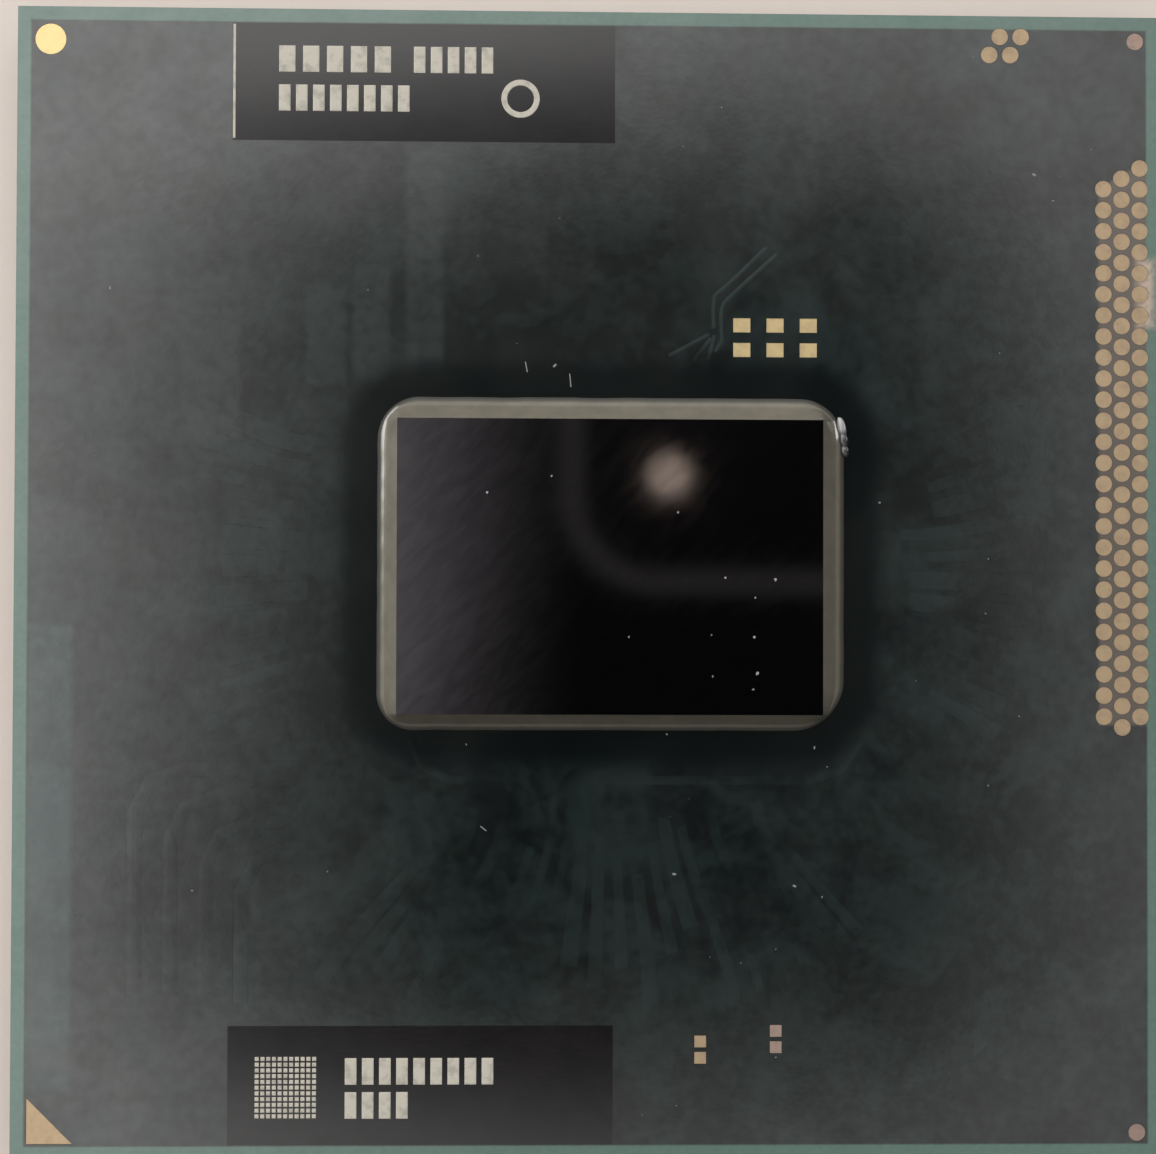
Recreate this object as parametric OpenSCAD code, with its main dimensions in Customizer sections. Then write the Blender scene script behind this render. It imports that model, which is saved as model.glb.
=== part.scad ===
// Bare-die processor package: a silicon die on a square laminate, with a grid of contact pins below.
// Millimetres. The origin is the middle of the pin tips, +Z is up and +Y points to the upper edge.

/* [Pin grid] */
// Pins along each side of the full grid
pins_per_side = 36; // [30:2:40]
// Distance between neighbouring pins
pin_pitch = 1; // [0.9:0.01:1.2]
// Distance from the outer pins' axes to the laminate's edge
edge_margin = 1.25; // [0.9:0.05:2]
// Columns of pins left out in the middle
cavity_columns = 18; // [14:2:20]
// Rows of pins left out in the middle
cavity_rows = 17; // [13:2:19]
// Pins left out at the first-pin corner
key_pins = 2; // [1:1:3]
// Diameter of a pin
pin_d = 0.3; // [0.2:0.01:0.45]
// Distance from the laminate to the pin tips
pin_l = 1.25; // [0.9:0.05:2.1]
// Chamfer at the tip of a pin
pin_chamfer = 0.05; // [0.02:0.01:0.08]
// How far a solder joint spreads round its pin on the laminate
solder_spread = 0.17; // [0.1:0.01:0.25]
// How thick a solder joint is at its lower end
solder_lip = 0.04; // [0.02:0.01:0.08]
// Height of a solder joint between the laminate and its pin
solder_h = 0.15; // [0.08:0.01:0.3]

/* [Laminate] */
// Thickness of the laminate
laminate_t = 1.1; // [0.8:0.05:1.6]
// Thickness of the solder mask film
mask_t = 0.03; // [0.025:0.005:0.06]

/* [Die] */
// Width of the die
die_w = 13.85; // [10:0.05:16]
// Depth of the die
die_d = 9.6; // [7:0.05:12]
// Thickness of the die
die_t = 0.78; // [0.6:0.01:0.9]
// Middle of the die, to the right of the package's middle
die_x = 0.6; // [-2:0.05:2]
// Middle of the die, above the package's middle
die_y = 0.5; // [-2:0.05:2]
// Gap between the die and the solder mask
die_gap = 0.05; // [0.03:0.01:0.1]
// Diameter of a solder bump below the die
bump_d = 0.16; // [0.1:0.01:0.3]
// Distance between neighbouring bumps
bump_pitch = 0.8; // [0.6:0.05:1.2]
// Clear strip between the outer bumps and the die's edge
bump_margin = 0.4; // [0.3:0.05:1]
// Clearance round a bump in the mask and in the underfill
bump_gap = 0.005; // [0.002:0.001:0.01]

/* [Underfill] */
// Width of the resin bead on the die's left
bead_left = 0.66; // [0.5:0.01:1.2]
// Width of the resin bead on the die's right
bead_right = 0.78; // [0.5:0.01:1.2]
// Width of the resin bead above the die
bead_upper = 0.76; // [0.5:0.01:1.2]
// Width of the resin bead below the die
bead_lower = 0.53; // [0.5:0.01:1.2]
// Radius of the bead's foot at its upper left corner
bead_upper_left_r = 1.4; // [0.8:0.05:1.6]
// Radius of the bead's foot at its lower left corner
bead_lower_left_r = 1.2; // [0.8:0.05:1.4]
// Radius of the bead's foot at its two right corners
bead_right_r = 1.7; // [0.8:0.05:1.7]
// Share of the bead's width that its hollow skirt takes up
skirt_share = 0.5; // [0.3:0.05:0.6]
// Height of the bead where the skirt meets its steep face
skirt_h = 0.16; // [0.1:0.02:0.3]
// How far the bead stops below the die's upper face
bead_drop = 0.06; // [0.02:0.01:0.2]

/* [Bare pads] */
// Thickness of the gold pads
pad_t = 0.02; // [0.01:0.005:0.025]
// Clearance round a pad in the solder mask
pad_gap = 0.01; // [0.005:0.005:0.03]
// Diameter of the round fiducial
fiducial_d = 1; // [0.6:0.05:1.4]
// Middle of the fiducial from the two edges beside it
fiducial_inset = 1.07; // [0.9:0.01:1.6]
// Legs of the first-pin triangle
triangle_leg = 1.47; // [1:0.01:2]
// Right-angled corner of the triangle from the two edges beside it
triangle_inset = 0.53; // [0.3:0.01:0.8]
// Diameter of the corner, cluster and test pads
dot_d = 0.55; // [0.4:0.01:0.6]
// Distance between neighbouring dots in the cluster and the test field
dot_pitch = 0.696; // [0.66:0.002:0.8]
// Middle of the two corner pads from the edges beside them
corner_pad_inset = 0.8; // [0.6:0.05:1.2]
// Middle of the cluster from the right edge
cluster_right = 5.12; // [4:0.01:8]
// Middle of the cluster from the upper edge
cluster_upper = 0.98; // [0.8:0.01:2]
// Outer test column from the right edge
test_right = 0.65; // [0.5:0.01:1.2]
// First outer test pad from the upper edge
test_upper = 5; // [4:0.1:8]
// Pads in the outer and the middle test column
test_rows = 27; // [10:1:30]
// Columns of component pads
component_columns = 3; // [2:1:4]
// Rows of component pads
component_rows = 2; // [1:1:3]
// Width of a component pad
component_pad_w = 0.56; // [0.4:0.01:0.8]
// Depth of a component pad
component_pad_d = 0.46; // [0.3:0.01:0.6]
// Distance between component pads along a row
component_pitch_x = 1.095; // [0.9:0.005:1.4]
// Distance between the rows of component pads
component_pitch_y = 0.81; // [0.7:0.01:1.2]
// Middle of the component pads, to the right of the die's middle
component_x = 5.43; // [3:0.01:6]
// Middle of the component pads from the die's upper edge
component_above = 2.76; // [2:0.01:4]
// Side of a pad in the two small pairs
pair_pad = 0.38; // [0.2:0.01:0.45]
// Distance between the two pads of a pair
pair_pitch = 0.53; // [0.5:0.01:0.8]
// Left pair, to the right of the package's middle
pair_left_x = 3.61; // [2:0.01:5]
// Left pair from the lower edge
pair_left_lower = 3.53; // [2:0.01:5]
// Right pair, to the right of the package's middle
pair_right_x = 6.08; // [5.5:0.01:8]
// Right pair from the lower edge
pair_right_lower = 3.87; // [2:0.01:5]

/* [Ink panels] */
// Width of the two black panels
panel_w = 12.5; // [8:0.1:14]
// Depth of the two black panels
panel_d = 3.85; // [2:0.05:5]
// Thickness of the ink
ink_t = 0.015; // [0.01:0.005:0.03]
// Middle of the panels, to the left of the package's middle
panel_left = 5.5; // [3:0.1:8]
// Panels from the edges beside them
panel_inset = 0.47; // [0.3:0.01:1]

/* [Capacitors] */
// Columns of capacitors in the clear area of the underside
capacitor_columns = 6; // [3:1:6]
// Rows of capacitors
capacitor_rows = 4; // [2:1:4]
// Length of a capacitor
capacitor_l = 1.6; // [1:0.1:2]
// Width of a capacitor
capacitor_w = 0.8; // [0.5:0.1:1.2]
// Height of a capacitor
capacitor_h = 0.55; // [0.3:0.05:0.8]
// Length of a capacitor's metal ends
terminal_l = 0.35; // [0.2:0.05:0.45]
// How far the metal ends stand proud of the ceramic
terminal_proud = 0.025; // [0.01:0.005:0.05]
// Clear strip between the capacitor field and the pins round it
capacitor_margin = 1; // [0.6:0.1:2]

/* [Hidden] */
package_side = (pins_per_side - 1) * pin_pitch + 2 * edge_margin;
edge = package_side / 2;
laminate_top = pin_l + laminate_t;
mask_top = laminate_top + mask_t;
die_base = mask_top + die_gap;
die_top = die_base + die_t;

rows_below = ceil((pins_per_side - cavity_rows) / 2);
cavity_end_row = rows_below + cavity_rows;
side_columns = (pins_per_side - cavity_columns) / 2;
last_pin = pins_per_side - 1;
cavity_w = (cavity_columns + 1) * pin_pitch;
cavity_d = (cavity_rows + 1) * pin_pitch;
cavity_y = (rows_below + cavity_end_row - pins_per_side) / 2 * pin_pitch;

bump_columns = floor((die_w - 2 * bump_margin) / bump_pitch) + 1;
bump_rows = floor((die_d - 2 * bump_margin) / bump_pitch) + 1;

column_pitch = dot_pitch * sin(60);
round_fn = 48;
hull_fn = 32;
skirt_steps = 3;
skirt_foot_h = 0.02;

capacitor_count = capacitor_columns * capacitor_rows;
capacitor_pitch_x = (cavity_w - 2 * capacitor_margin) / capacitor_columns;
capacitor_pitch_y = (cavity_d - 2 * capacitor_margin) / capacitor_rows;

function pin_place(index) = (index - last_pin / 2) * pin_pitch;
// The clear area in the middle, widened by some pins
function in_cavity(column, row, widen = 0) =
    column >= side_columns - widen && column < pins_per_side - side_columns + widen
    && row >= rows_below - widen && row < cavity_end_row + widen;
function is_key(column, row) = row == 0 && column < key_pins;
function is_outer(column, row) = min(column, row) == 0 || max(column, row) == last_pin;
function pin_group(column, row) =
    is_key(column, row) || in_cavity(column, row) ? "none"
    : is_outer(column, row) ? "outer_ring"
    : in_cavity(column, row, 1) ? "inner_ring"
    : row >= cavity_end_row ? "north"
    : row < rows_below ? "south"
    : column < side_columns ? "west"
    : "east";
function capacitor_name(index) = str("capacitor_", index < 9 ? "0" : "", index + 1);

PIN_GROUPS = ["outer_ring", "inner_ring", "north", "south", "east", "west"];

// Places that repeat

// Copies along a line or over a field, centred on the origin
module centred_grid(columns, rows, pitch_x, pitch_y) {
    for (column = [0 : columns - 1], row = [0 : rows - 1])
        translate([(column - (columns - 1) / 2) * pitch_x, (row - (rows - 1) / 2) * pitch_y])
            children();
}

// Every place of the pin grid that belongs to one group of pins
module pin_places(group) {
    for (column = [0 : last_pin], row = [0 : last_pin])
        if (pin_group(column, row) == group)
            translate([pin_place(column), pin_place(row)])
                children();
}

module die_place() {
    translate([die_x, die_y]) children();
}

module bump_places() {
    die_place() centred_grid(bump_columns, bump_rows, bump_pitch, bump_pitch) children();
}

// Flat outlines of the bare pads; grow widens each one for its opening in the mask

module fiducial_outline(grow = 0) {
    translate([fiducial_inset - edge, edge - fiducial_inset])
        circle(d = fiducial_d + 2 * grow, $fn = round_fn);
}

module triangle_outline(grow = 0) {
    leg = triangle_leg + grow * (2 + sqrt(2));
    translate([triangle_inset - edge - grow, triangle_inset - edge - grow])
        polygon([[0, 0], [leg, 0], [0, leg]]);
}

module dot_outline(grow) {
    circle(d = dot_d + 2 * grow, $fn = round_fn);
}

module cluster_outline(grow = 0) {
    translate([edge - cluster_right, edge - cluster_upper])
        for (row = [-1, 1])
            translate([row * dot_pitch / 4, row * column_pitch / 2])
                centred_grid(2, 1, dot_pitch, 0) dot_outline(grow);
}

module corner_pad_outline(side, grow = 0) {
    translate([edge - corner_pad_inset, side * (edge - corner_pad_inset)]) dot_outline(grow);
}

// One column of the test field: each column inwards starts half a pitch lower
module test_column_outline(column, pads, grow = 0) {
    x = edge - test_right - column * column_pitch;
    for (pad = [0 : pads - 1])
        translate([x, edge - test_upper - (pad + column / 2) * dot_pitch])
            dot_outline(grow);
}

module test_inner_outline(grow = 0) {
    test_column_outline(2, test_rows - 1, grow);
}

module test_middle_outline(grow = 0) {
    test_column_outline(1, test_rows, grow);
}

module test_outer_outline(grow = 0) {
    test_column_outline(0, test_rows, grow);
}

module component_outline(grow = 0) {
    die_place()
        translate([component_x, die_d / 2 + component_above])
            centred_grid(component_columns, component_rows, component_pitch_x, component_pitch_y)
                square([component_pad_w + 2 * grow, component_pad_d + 2 * grow], center = true);
}

module pair_outline(x, lower, grow = 0) {
    translate([x, lower - edge])
        centred_grid(1, 2, 0, pair_pitch)
            square(pair_pad + 2 * grow, center = true);
}

module mask_openings() {
    fiducial_outline(pad_gap);
    triangle_outline(pad_gap);
    cluster_outline(pad_gap);
    corner_pad_outline(1, pad_gap);
    corner_pad_outline(-1, pad_gap);
    test_inner_outline(pad_gap);
    test_middle_outline(pad_gap);
    test_outer_outline(pad_gap);
    component_outline(pad_gap);
    pair_outline(pair_left_x, pair_left_lower, pad_gap);
    pair_outline(pair_right_x, pair_right_lower, pad_gap);
    bump_places() circle(d = bump_d + 2 * bump_gap, $fn = round_fn);
}

module pad() {
    color("#d9b877") translate([0, 0, laminate_top]) linear_extrude(pad_t) children();
}

// Board and die

module laminate() {
    color("#3f6b60")
        translate([-edge, -edge, pin_l])
            cube([package_side, package_side, laminate_t]);
}

module top_solder_mask() {
    color("#1d2a2a")
        translate([0, 0, laminate_top])
            linear_extrude(mask_t)
                difference() {
                    square(package_side, center = true);
                    mask_openings();
                }
}

module die_block() {
    die_place()
        translate([-die_w / 2, -die_d / 2, die_base])
            cube([die_w, die_d, die_t]);
}

module silicon_die() {
    color("#141018") die_block();
}

module bump(gap = 0) {
    cylinder(d = bump_d + 2 * gap, h = die_base - laminate_top, $fn = round_fn);
}

module die_bumps() {
    color("#b9bcc0") translate([0, 0, laminate_top]) bump_places() bump();
}

// One rounded corner of the bead's outline: x and y are the two sides that it joins
module bead_corner(x, y, radius) {
    layer_t = 0.001;
    translate([x - sign(x) * radius, y - sign(y) * radius])
        cylinder(r = radius, h = layer_t, $fn = hull_fn);
}

// A thin layer of the bead: reach is 1 for the foot's rounded outline and 0 for the die's
module bead_layer(reach, z) {
    left = -die_w / 2 - reach * bead_left;
    right = die_w / 2 + reach * bead_right;
    upper = die_d / 2 + reach * bead_upper;
    lower = -die_d / 2 - reach * bead_lower;
    translate([0, 0, z]) {
        bead_corner(left, upper, reach * bead_upper_left_r);
        bead_corner(left, lower, reach * bead_lower_left_r);
        bead_corner(right, upper, reach * bead_right_r);
        bead_corner(right, lower, reach * bead_right_r);
    }
}

// A layer of the bead's skirt, which rises ever more steeply from the foot
module skirt_layer(step) {
    share = step / skirt_steps;
    bead_layer(1 - skirt_share * share, mask_top + skirt_foot_h + (skirt_h - skirt_foot_h) * share * share);
}

// The bead: a foot, the hollow skirt above it and a steep face up to the die's side
module bead_form() {
    hull() {
        bead_layer(1, mask_top);
        skirt_layer(0);
    }
    for (step = [1 : skirt_steps])
        hull() {
            skirt_layer(step - 1);
            skirt_layer(step);
        }
    hull() {
        skirt_layer(skirt_steps);
        translate([-die_w / 2, -die_d / 2, mask_top])
            cube([die_w, die_d, die_top - bead_drop - mask_top]);
    }
}

module underfill() {
    color("#8f8a78")
        difference() {
            die_place() bead_form();
            die_block();
            translate([0, 0, laminate_top]) bump_places() bump(bump_gap);
        }
}

// Ink panels

module ink_panel(lower_edge) {
    color("#1b1a1c")
        translate([-panel_left - panel_w / 2, lower_edge, mask_top])
            cube([panel_w, panel_d, ink_t]);
}

module upper_ink_panel() {
    ink_panel(edge - panel_inset - panel_d);
}

module lower_ink_panel() {
    ink_panel(panel_inset - edge);
}

// Pins and their solder

module pin() {
    radius = pin_d / 2;
    end = pin_l - solder_h;
    color("#c9a35a")
        rotate_extrude($fn = round_fn)
            polygon([[0, 0], [radius - pin_chamfer, 0], [radius, pin_chamfer], [radius, end], [0, end]]);
}

module solder_joint() {
    lower_r = pin_d / 2 + solder_lip;
    upper_r = pin_d / 2 + solder_spread;
    color("#b5b6b4")
        translate([0, 0, pin_l - solder_h])
            cylinder(r1 = lower_r, r2 = upper_r, h = solder_h, $fn = round_fn);
}

// Capacitors on the underside, counted along the rows from the lower left

module capacitor(index) {
    column = index % capacitor_columns;
    row = floor(index / capacitor_columns);
    x = (column - (capacitor_columns - 1) / 2) * capacitor_pitch_x;
    y = cavity_y + (row - (capacitor_rows - 1) / 2) * capacitor_pitch_y;
    ceramic = [capacitor_l, capacitor_w, capacitor_h] - 2 * terminal_proud * [1, 1, 1];
    color("#8a6a4c")
        translate([x, y, pin_l - capacitor_h / 2]) {
            cube(ceramic, center = true);
            for (end = [-1, 1])
                translate([end * (capacitor_l - terminal_l) / 2, 0, 0])
                    cube([terminal_l, capacitor_w, capacitor_h], center = true);
        }
}

laminate();
top_solder_mask();
silicon_die();
underfill();
die_bumps();
pad() fiducial_outline();  // fiducial_pad
pad() triangle_outline();  // first_pin_triangle
pad() cluster_outline();  // pad_cluster
pad() corner_pad_outline(1);  // corner_pad_upper
pad() corner_pad_outline(-1);  // corner_pad_lower
pad() test_inner_outline();  // test_pads_inner
pad() test_middle_outline();  // test_pads_middle
pad() test_outer_outline();  // test_pads_outer
pad() component_outline();  // component_pads
pad() pair_outline(pair_left_x, pair_left_lower);  // pad_pair_left
pad() pair_outline(pair_right_x, pair_right_lower);  // pad_pair_right
upper_ink_panel();
lower_ink_panel();
for (group = PIN_GROUPS) {
    pin_places(group) pin();
    pin_places(group) solder_joint();
}
for (index = [0 : capacitor_count - 1])
    capacitor(index);
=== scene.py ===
"""The looks of a bare-die processor package: finishes, relief, print marks, light and camera."""

import math
import random

import bmesh
import bpy
from mathutils import Matrix, Vector, noise


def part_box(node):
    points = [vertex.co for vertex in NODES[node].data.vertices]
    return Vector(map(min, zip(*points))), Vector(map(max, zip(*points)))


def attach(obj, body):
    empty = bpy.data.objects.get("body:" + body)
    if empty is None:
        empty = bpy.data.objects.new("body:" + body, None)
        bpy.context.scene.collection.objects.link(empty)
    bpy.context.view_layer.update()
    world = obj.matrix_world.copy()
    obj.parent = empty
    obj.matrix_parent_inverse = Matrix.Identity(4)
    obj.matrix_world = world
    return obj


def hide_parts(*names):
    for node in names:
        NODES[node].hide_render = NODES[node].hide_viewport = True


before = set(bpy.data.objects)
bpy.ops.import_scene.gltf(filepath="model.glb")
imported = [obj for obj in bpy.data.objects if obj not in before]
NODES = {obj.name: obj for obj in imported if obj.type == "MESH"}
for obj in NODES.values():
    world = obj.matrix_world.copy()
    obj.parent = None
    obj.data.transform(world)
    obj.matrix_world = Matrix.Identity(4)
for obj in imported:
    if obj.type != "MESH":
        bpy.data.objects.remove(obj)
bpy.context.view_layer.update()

# Metres in a millimetre: every size below is in millimetres
MM = 0.001

# The view of the photograph
PHOTO_W = 1156
FOCAL_PX = 3000
SENSOR_W = 36
EYE = Vector((-4.01, -2.30, 100.34))
LOOK = Vector((0.0366, 0.0253, -0.9990))
UP = Vector((-0.0038, 0.9997, 0.0251))
CLIP_NEAR = 1
CLIP_FAR = 10000


def box_mm(node):
    """Lowest and highest corner of a CAD node in millimetres."""
    low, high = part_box(node)
    return low / MM, high / MM


BOARD_LOW, BOARD_HIGH = box_mm("laminate")
DIE_LOW, DIE_HIGH = box_mm("silicon_die")
BEAD_LOW, BEAD_HIGH = box_mm("underfill")
EDGE = BOARD_HIGH.x
MASK_TOP = box_mm("top_solder_mask")[1].z


# Shader nodes

# Most values of a noise texture lie between these two
NOISE_DARK = 0.3
NOISE_BRIGHT = 0.7


def colour(value):
    """A colour socket as it is, or three numbers with full alpha."""
    if isinstance(value, bpy.types.NodeSocket):
        return value
    return (*value, 1.0)


def shade(base, factor):
    """A colour made darker or lighter."""
    return tuple(factor * part for part in base)


class Nodes:
    """Short calls that add nodes to one tree and link them."""

    def __init__(self, tree):
        self.tree = tree
        tree.nodes.clear()

    def plug(self, socket, value):
        """Links a socket to another one, or sets it to a plain value."""
        if isinstance(value, bpy.types.NodeSocket):
            self.tree.links.new(value, socket)
        else:
            socket.default_value = value

    def add(self, kind, inputs=(), **settings):
        node = self.tree.nodes.new("ShaderNode" + kind)
        for name, value in settings.items():
            setattr(node, name, value)
        for key, value in dict(inputs).items():
            self.plug(node.inputs[key], value)
        return node

    def math(self, operation, *values):
        node = self.add("Math", operation=operation)
        for socket, value in zip(node.inputs, values):
            self.plug(socket, value)
        return node.outputs[0]

    def plus(self, first, second):
        return self.math("ADD", first, second)

    def minus(self, first, second):
        return self.math("SUBTRACT", first, second)

    def times(self, first, second):
        return self.math("MULTIPLY", first, second)

    def vector(self, operation, *values, scale=None):
        node = self.add("VectorMath", operation=operation)
        for socket, value in zip(node.inputs, values):
            self.plug(socket, value)
        if scale is not None:
            self.plug(node.inputs["Scale"], scale)
        single = operation in ("LENGTH", "DISTANCE", "DOT_PRODUCT")
        return node.outputs["Value" if single else "Vector"]

    def split(self, vector):
        return self.add("SeparateXYZ", {0: vector}).outputs[:]

    def join(self, x, y, z=0.0):
        return self.add("CombineXYZ", {0: x, 1: y, 2: z}).outputs[0]

    def past_box(self, place, middle, half):
        """How far a place lies past a box on each axis, 0 inside it; half is half of the box's size."""
        aside = self.vector("ABSOLUTE", self.vector("SUBTRACT", place, middle))
        return self.vector("MAXIMUM", self.vector("SUBTRACT", aside, half), (0.0, 0.0, 0.0))

    def ramp(self, value, start, end, low=0.0, high=1.0):
        """A smooth step from low at start to high at end."""
        values = {0: value, 1: start, 2: end, 3: low, 4: high}
        return self.add("MapRange", values, interpolation_type="SMOOTHSTEP").outputs[0]

    def vary(self, texture, low=0.0, high=1.0):
        """A value that follows a noise texture smoothly from low to high."""
        return self.ramp(texture, NOISE_DARK, NOISE_BRIGHT, low, high)

    def mix(self, factor, low, high):
        """A colour between low and high."""
        values = {0: factor, 6: colour(low), 7: colour(high)}
        return self.add("Mix", values, data_type="RGBA").outputs[2]


class Surface(Nodes):
    """A material with one shader, and the place on the part in millimetres."""

    def __init__(self, name):
        self.material = bpy.data.materials.new(name)
        self.material.use_nodes = True
        super().__init__(self.material.node_tree)
        self.shader = self.add("BsdfPrincipled")
        self.add("OutputMaterial", {"Surface": self.shader.outputs[0]})
        self.place = self.vector("SCALE", self.add("TexCoord").outputs["Object"], scale=1 / MM)

    def set(self, base, rough, others=()):
        """Sets the shader's colour, its roughness and other sockets by their names."""
        self.plug(self.shader.inputs["Base Color"], colour(base))
        self.plug(self.shader.inputs["Roughness"], rough)
        for name, value in dict(others).items():
            self.plug(self.shader.inputs[name], value)

    def bump(self, height, depth, strength=1.0):
        """Fine relief from a texture; depth is in millimetres."""
        node = self.add("Bump", {"Strength": strength, "Distance": depth * MM, "Height": height})
        self.plug(self.shader.inputs["Normal"], node.outputs[0])

    def noise(self, scale, detail=2.0, roughness=0.5, distortion=0.0, place=None):
        """A noise texture; scale is the number of waves in a millimetre, or in a unit of the place given."""
        values = {"Vector": self.place if place is None else place, "Scale": scale, "Detail": detail,
                  "Roughness": roughness, "Distortion": distortion}
        return self.add("TexNoise", values).outputs[0]

    def inside(self, low, high, soft):
        """1 inside an upright rectangle of the board, 0 outside, with a soft edge."""
        x, y, _ = self.split(self.place)
        across = self.math("MINIMUM", self.minus(x, low[0]), self.minus(high[0], x))
        along = self.math("MINIMUM", self.minus(y, low[1]), self.minus(high[1], y))
        return self.ramp(self.math("MINIMUM", across, along), -soft, soft)


# The solder mask

MASK_DARK = (0.0016, 0.0030, 0.0030)
MASK_LIGHT = (0.0078, 0.0140, 0.0134)
BRIGHT_COPPER = (0.0140, 0.0230, 0.0220)
FIELD_TEAL = (0.0125, 0.0180, 0.0175)
RIM_TEAL = (0.052, 0.104, 0.084)
STRIP_TEAL = (0.021, 0.037, 0.036)
WEB_BROWN = (0.062, 0.048, 0.037)
WORN_PINK = (0.36, 0.27, 0.21)
# Depth of the mask's fine relief
MASK_BUMP = 0.0004
# Width of the board's rim that has no copper below the mask, and half the width of its soft border
RIM_W = 0.435
RIM_SOFT = 0.045
# A lighter strip of mask along the left edge
STRIP_LOW = Vector((-18.3, -16.5))
STRIP_HIGH = Vector((-16.85, -1.45))
STRIP_SOFT = 0.15
# A patch above the die with little copper below the mask, and how much of the copper's tone is lost there
BARE_LOW = Vector((-4.5, 6.3))
BARE_HIGH = Vector((4.5, 12.0))
BARE_SOFT = 1.6
BARE_LOSS = 0.35
# Fields of copper that show to the upper left of the die: lower left and upper right corner of each
COPPER_FIELDS = [((-13.35, 4.6), (-11.45, 8.9)), ((-9.35, 6.4), (-8.05, 9.7)),
                 ((-7.80, 6.5), (-6.60, 10.3)), ((-6.05, 6.8), (-4.85, 14.2))]
FIELD_SOFT = 0.16
# Distances from the bead at which the painted shade on the mask is full and at which it ends
SHADE_NEAR = 0.6
SHADE_FAR = 1.7
# Corner radius of the box that stands for the bead in the painted shade
SHADE_CORNER_R = 1.6
# Share of its gloss that the mask keeps where the painted shade is full
SHADE_GLOSS = 0.58
# How far the ground of the test field starts inside the left border of its pads, and how soft it ends
WEB_INSET = 0.12
WEB_SOFT = 0.08
# A worn patch on the right rim
WORN_LOW = Vector((18.02, 8.5))
WORN_HIGH = Vector((18.55, 10.7))
WORN_SOFT = 0.20


def copper_below(skin, blotch, grain, lift, light):
    """Colour of the mask over copper, which shows in blotches and best in a few fields."""
    blotch_share = 0.75
    tone = skin.plus(skin.times(blotch, blotch_share), skin.times(grain, 1 - blotch_share))
    fade = skin.times(skin.ramp(skin.noise(0.3, detail=3.0), 0.40, 0.62), lift)
    shown = skin.plus(skin.ramp(tone, 0.36, 0.66), fade)
    shown = skin.minus(shown, skin.times(skin.inside(BARE_LOW, BARE_HIGH, BARE_SOFT), BARE_LOSS))
    copper = skin.mix(shown, MASK_DARK, light)
    uneven = skin.ramp(grain, 0.3, 0.6, 0.55, 1.0)
    for low, high in COPPER_FIELDS:
        copper = skin.mix(skin.times(skin.inside(low, high, FIELD_SOFT), uneven), copper, FIELD_TEAL)
    return copper


def test_field_web(skin):
    """1 in the webs between the pads of the test field, 0 outside it."""
    _, high = box_mm("test_pads_outer")
    inner_low, inner_high = box_mm("test_pads_inner")
    x, y, _ = skin.split(skin.place)
    field = skin.inside(inner_low + Vector((WEB_INSET, 0.0, 0.0)), high, WEB_SOFT)
    # The columns further in start lower, so the field's upper end is slanted
    fall = (high.y - inner_high.y) / (high.x - inner_high.x)
    drop = skin.times(skin.minus(high.x, x), fall)
    below_top = skin.minus(skin.minus(high.y, y), drop)
    return skin.times(field, skin.ramp(below_top, -WEB_SOFT, WEB_SOFT))


def board_rim(skin, base):
    """Lays the teal rim and its worn patch over a colour."""
    x, y, _ = skin.split(skin.place)
    reach = skin.math("MAXIMUM", skin.math("ABSOLUTE", x), skin.math("ABSOLUTE", y))
    rim = skin.ramp(reach, EDGE - RIM_W - RIM_SOFT, EDGE - RIM_W + RIM_SOFT)
    weave = skin.noise(5.0)
    base = skin.mix(rim, base, skin.mix(weave, shade(RIM_TEAL, 0.8), shade(RIM_TEAL, 1.2)))
    worn = skin.inside(WORN_LOW, WORN_HIGH, WORN_SOFT)
    return skin.mix(skin.times(worn, skin.ramp(weave, 0.3, 0.6, 0.5, 0.9)), base, WORN_PINK)


def beside_bead(skin):
    """Distance on the board from the bead, taken as a box with rounded corners."""
    middle = (BEAD_LOW + BEAD_HIGH) / 2
    straight = (BEAD_HIGH - BEAD_LOW) / 2 - Vector((SHADE_CORNER_R, SHADE_CORNER_R, 0.0))
    x, y, _ = skin.split(skin.past_box(skin.place, middle, straight))
    return skin.minus(skin.vector("LENGTH", skin.join(x, y)), SHADE_CORNER_R)


def mask_gloss(skin, grain, painted_shade):
    """How much the mask mirrors: a little uneven, and less in the painted shade beside the bead."""
    film = skin.ramp(skin.noise(0.55, detail=4.0, roughness=0.6, distortion=0.3), 0.25, 0.72, 0.88, 1.02)
    mottled = skin.times(film, skin.vary(grain, 0.95, 1.05))
    return skin.times(mottled, skin.ramp(painted_shade, 0.0, 1.0, 1.0, SHADE_GLOSS))


def solder_mask(name="solder_mask", lift=0.0, light=MASK_LIGHT):
    """Dark green film over copper; lift brightens it towards light where a trace shows through."""
    skin = Surface(name)
    blotch = skin.noise(0.42, detail=5.0, roughness=0.62, distortion=0.6)
    grain = skin.noise(2.6, detail=3.0, roughness=0.6)
    base = copper_below(skin, blotch, grain, lift, light)
    strip = skin.inside(STRIP_LOW, STRIP_HIGH, STRIP_SOFT)
    base = skin.mix(skin.times(strip, skin.ramp(blotch, 0.36, 0.6, 0.5, 0.95)), base, STRIP_TEAL)
    base = skin.mix(test_field_web(skin), base, WEB_BROWN)
    base = board_rim(skin, base)
    # Painted shade: the mask darkens towards MASK_DARK and loses gloss near the bead's foot
    painted_shade = skin.ramp(beside_bead(skin), SHADE_FAR, SHADE_NEAR)
    smudge = skin.noise(0.18, detail=3.0, roughness=0.6)
    skin.set(skin.mix(painted_shade, base, MASK_DARK), skin.vary(smudge, 0.10, 0.14),
             {"Specular IOR Level": mask_gloss(skin, grain, painted_shade)})
    skin.bump(skin.noise(7.0, detail=3.0), MASK_BUMP)
    return skin.material


# Other materials

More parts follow.
